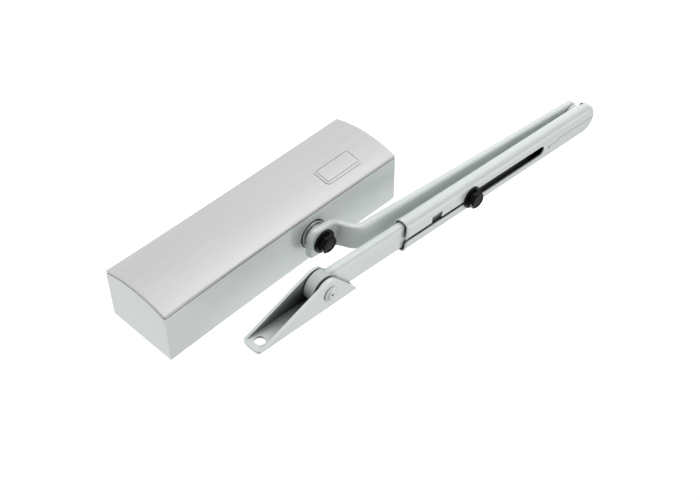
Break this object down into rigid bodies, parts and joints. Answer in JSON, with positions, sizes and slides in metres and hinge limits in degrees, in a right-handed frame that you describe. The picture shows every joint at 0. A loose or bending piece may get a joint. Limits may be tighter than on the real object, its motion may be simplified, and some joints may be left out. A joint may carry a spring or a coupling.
{
  "type": "door closer",
  "caption": "Overhead rack-and-pinion door closer with a boxed cover, an arched faceplate and a folding telescopic double-lever arm ending in a screw-on shoe.",
  "frame": {"origin": "centre of the body's mounting face, the plane that lies on the door", "axes": "+Y into the door, out of the mounting face; +Z along the spindle towards the arm; X along the body, with the folded arm pointing towards -X"},
  "size_m": [0.4195, 0.0765, 0.1137],
  "materials": {
    "silver_paint": "smooth glossy silver-white paint on sheet steel and bars",
    "brushed_aluminium": "satin anodised, brushed lengthwise",
    "die_cast": "as-cast, bead blasted",
    "bright_steel": "turned and zinc plated",
    "black_oxide": "black oxide on steel screws and washers",
    "spring_steel": "dark oil-tempered wire",
    "seal_rubber": "matt nitrile rubber",
    "cap_plastic": "fine matt moulded plastic",
    "bronze": "turned bearing bronze"
  },
  "bodies": {
    "closer_body": {"cover_shell": "silver_paint", "faceplate": "brushed_aluminium", "badge_pad": "brushed_aluminium", "cover_clip_left": "bright_steel", "cover_clip_right": "bright_steel", "lower_spindle_cap": "cap_plastic", "cylinder_body": "die_cast", "spring_end_plug": "bright_steel", "valve_end_plug": "bright_steel", "spring_plug_oring": "seal_rubber", "valve_plug_oring": "seal_rubber", "upper_bearing": "bronze", "upper_spindle_seal": "seal_rubber", "upper_retaining_ring": "bright_steel", "lower_bearing": "bronze", "lower_spindle_seal": "seal_rubber", "lower_retaining_ring": "bright_steel", "main_spring": "spring_steel"},
    "spindle": {"pinion_shaft": "bright_steel", "main_arm": "silver_paint", "arm_washer": "black_oxide", "arm_screw": "black_oxide", "elbow_rivet": "bright_steel", "elbow_washer": "cap_plastic"},
    "piston": {"rack_piston": "bright_steel", "piston_seal_left": "seal_rubber", "piston_seal_right": "seal_rubber", "check_ball_retainer": "bronze"},
    "check_ball": {"check_ball": "bright_steel"},
    "spring_seat": {"spring_seat": "bright_steel"},
    "tension_screw": {"tension_screw": "bright_steel", "tension_screw_oring": "seal_rubber"},
    "closing_valve": {"closing_speed_valve": "bronze", "closing_valve_oring": "seal_rubber"},
    "latching_valve": {"latching_speed_valve": "bronze", "latching_valve_oring": "seal_rubber"},
    "forearm_channel": {"forearm_channel": "silver_paint"},
    "forearm_rod": {"forearm_rod": "silver_paint", "clamp_washer": "black_oxide", "eye_bush": "bronze"},
    "clamp_bolt": {"clamp_bolt": "black_oxide"},
    "shoe": {"shoe_bracket": "silver_paint", "shoe_rivet": "silver_paint", "shoe_rear_washer": "bright_steel", "shoe_front_washer": "silver_paint"}
  },
  "joints": [
    {"name": "spindle_turn", "type": "hinge", "parent": "closer_body", "child": "spindle", "pos_m": [-0.025, -0.0223, 0], "axis": [0, 0, 1], "range_deg": [0, 180], "stiffness_Nm_per_rad": 5, "springref_deg": -114.59},
    {"name": "piston_slide", "type": "slide", "parent": "closer_body", "child": "piston", "axis": [1, 0, 0], "range_m": [0, 0.0252], "deforming": ["main_spring"]},
    {"name": "check_ball_lift", "type": "slide", "parent": "piston", "child": "check_ball", "axis": [-1, 0, 0], "range_m": [0, 0.0006]},
    {"name": "tension_screw_turn", "type": "hinge", "parent": "closer_body", "child": "tension_screw", "pos_m": [0.098, -0.0223, 0], "axis": [1, 0, 0], "range_deg": [-2160, 0]},
    {"name": "spring_seat_slide", "type": "slide", "parent": "closer_body", "child": "spring_seat", "axis": [1, 0, 0], "range_m": [-0.009, 0], "deforming": ["main_spring"]},
    {"name": "closing_valve_turn", "type": "hinge", "parent": "closer_body", "child": "closing_valve", "pos_m": [-0.098, -0.0056, 0.0152], "axis": [-1, 0, 0], "range_deg": [0, 720]},
    {"name": "latching_valve_turn", "type": "hinge", "parent": "closer_body", "child": "latching_valve", "pos_m": [-0.098, -0.0056, -0.0152], "axis": [-1, 0, 0], "range_deg": [0, 720]},
    {"name": "elbow", "type": "hinge", "parent": "spindle", "child": "forearm_channel", "pos_m": [-0.29544, 0.01499, 0.057], "axis": [0, 0, 1], "range_deg": [-180, 180]},
    {"name": "forearm_length", "type": "slide", "parent": "forearm_channel", "child": "forearm_rod", "axis": [-0.9947, 0.1033, 0], "range_m": [-0.005, 0.05]},
    {"name": "clamp_bolt_turn", "type": "hinge", "parent": "forearm_rod", "child": "clamp_bolt", "pos_m": [-0.15071, 0.00056, 0.07], "axis": [0, 0, 1], "range_deg": [0, 720]},
    {"name": "shoe_pivot", "type": "hinge", "parent": "forearm_rod", "child": "shoe", "pos_m": [0.003, -0.016, 0.065], "axis": [0, 0, 1], "range_deg": [-170, 0.8]}
  ],
  "couplings": [
    {"joint": "piston_slide", "follows": "spindle_turn", "m_per_rad": 0.008},
    {"joint": "tension_screw_turn", "follows": "spring_seat_slide", "rad_per_m": 4188.8}
  ]
}
